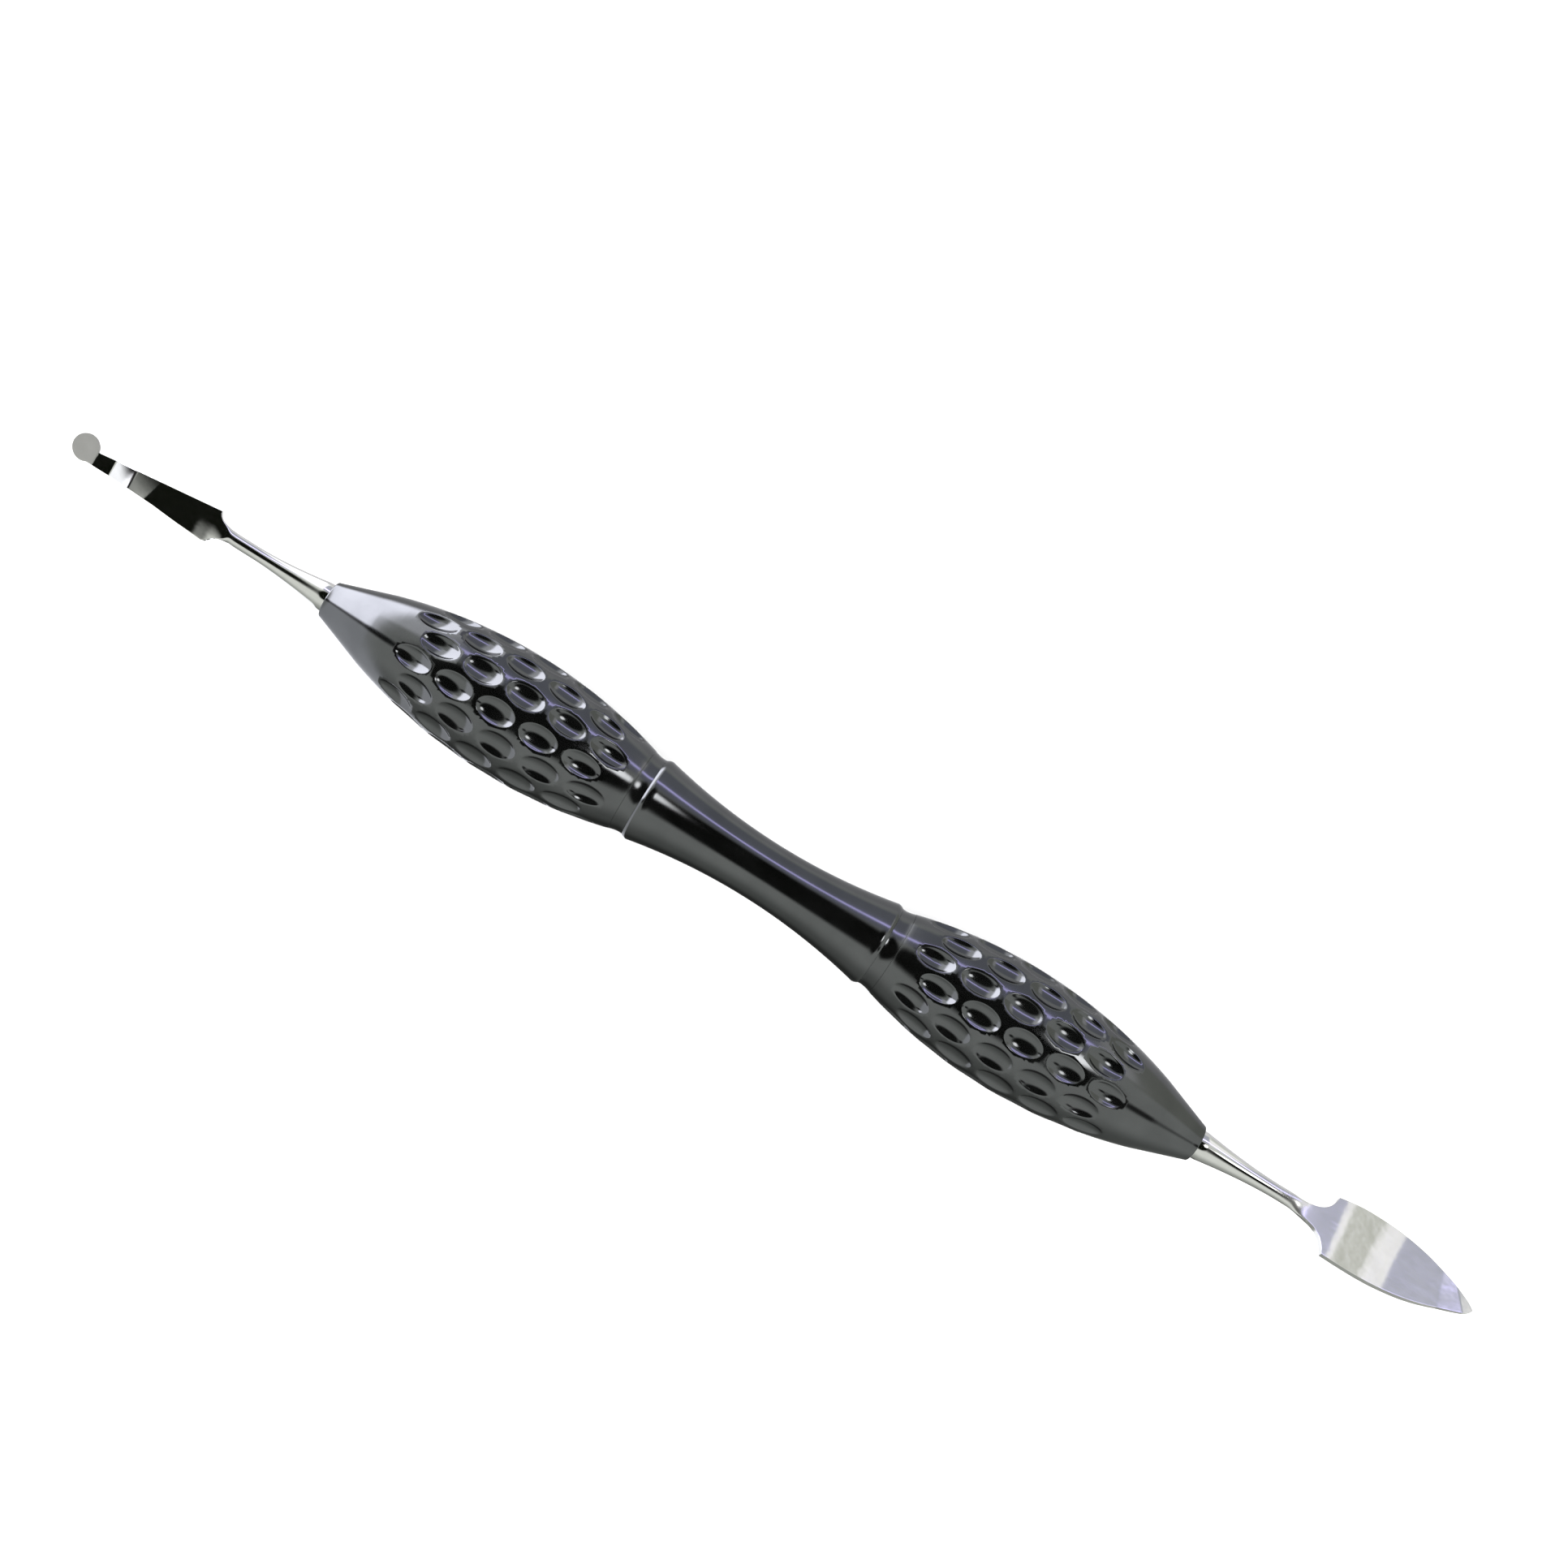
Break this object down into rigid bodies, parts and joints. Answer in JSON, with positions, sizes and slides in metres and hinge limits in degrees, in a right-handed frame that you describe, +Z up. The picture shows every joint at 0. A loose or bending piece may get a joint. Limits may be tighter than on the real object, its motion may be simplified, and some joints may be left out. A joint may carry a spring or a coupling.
{
  "type": "clay modelling tool",
  "caption": "Double-ended clay modelling tool: dimpled, waisted metal handle with a bent, rolled leaf-shaped blade at one end and a tapering blade with a small round flat tip at the other.",
  "frame": {"origin": "middle of the footprint, on the surface that the tool lies on", "axes": "+X along the tool towards the leaf blade, +Z up, away from the surface; the spoon-end blade faces +Z, and the leaf blade is rolled about 35 degrees to face partly towards +Y"},
  "size_m": [0.177, 0.014, 0.0139],
  "materials": {
    "dark_metal": "glossy dark gunmetal coating on turned metal, with polished dimples",
    "tip_steel": "mirror-polished stainless steel with softened edges",
    "stud_steel": "plain turned steel, hidden inside the handle",
    "bond_resin": "cured amber adhesive, hidden inside the handle"
  },
  "bodies": {
    "root": {"waist_sleeve": "dark_metal", "leaf_end_grip": "dark_metal", "spoon_end_grip": "dark_metal", "leaf_end_neck_ring": "dark_metal", "spoon_end_neck_ring": "dark_metal", "leaf_end_joint_stud": "stud_steel", "spoon_end_joint_stud": "stud_steel", "leaf_end_tang_bond": "bond_resin", "spoon_end_tang_bond": "bond_resin", "leaf_tip": "tip_steel", "spoon_tip": "tip_steel"}
  },
  "joints": []
}
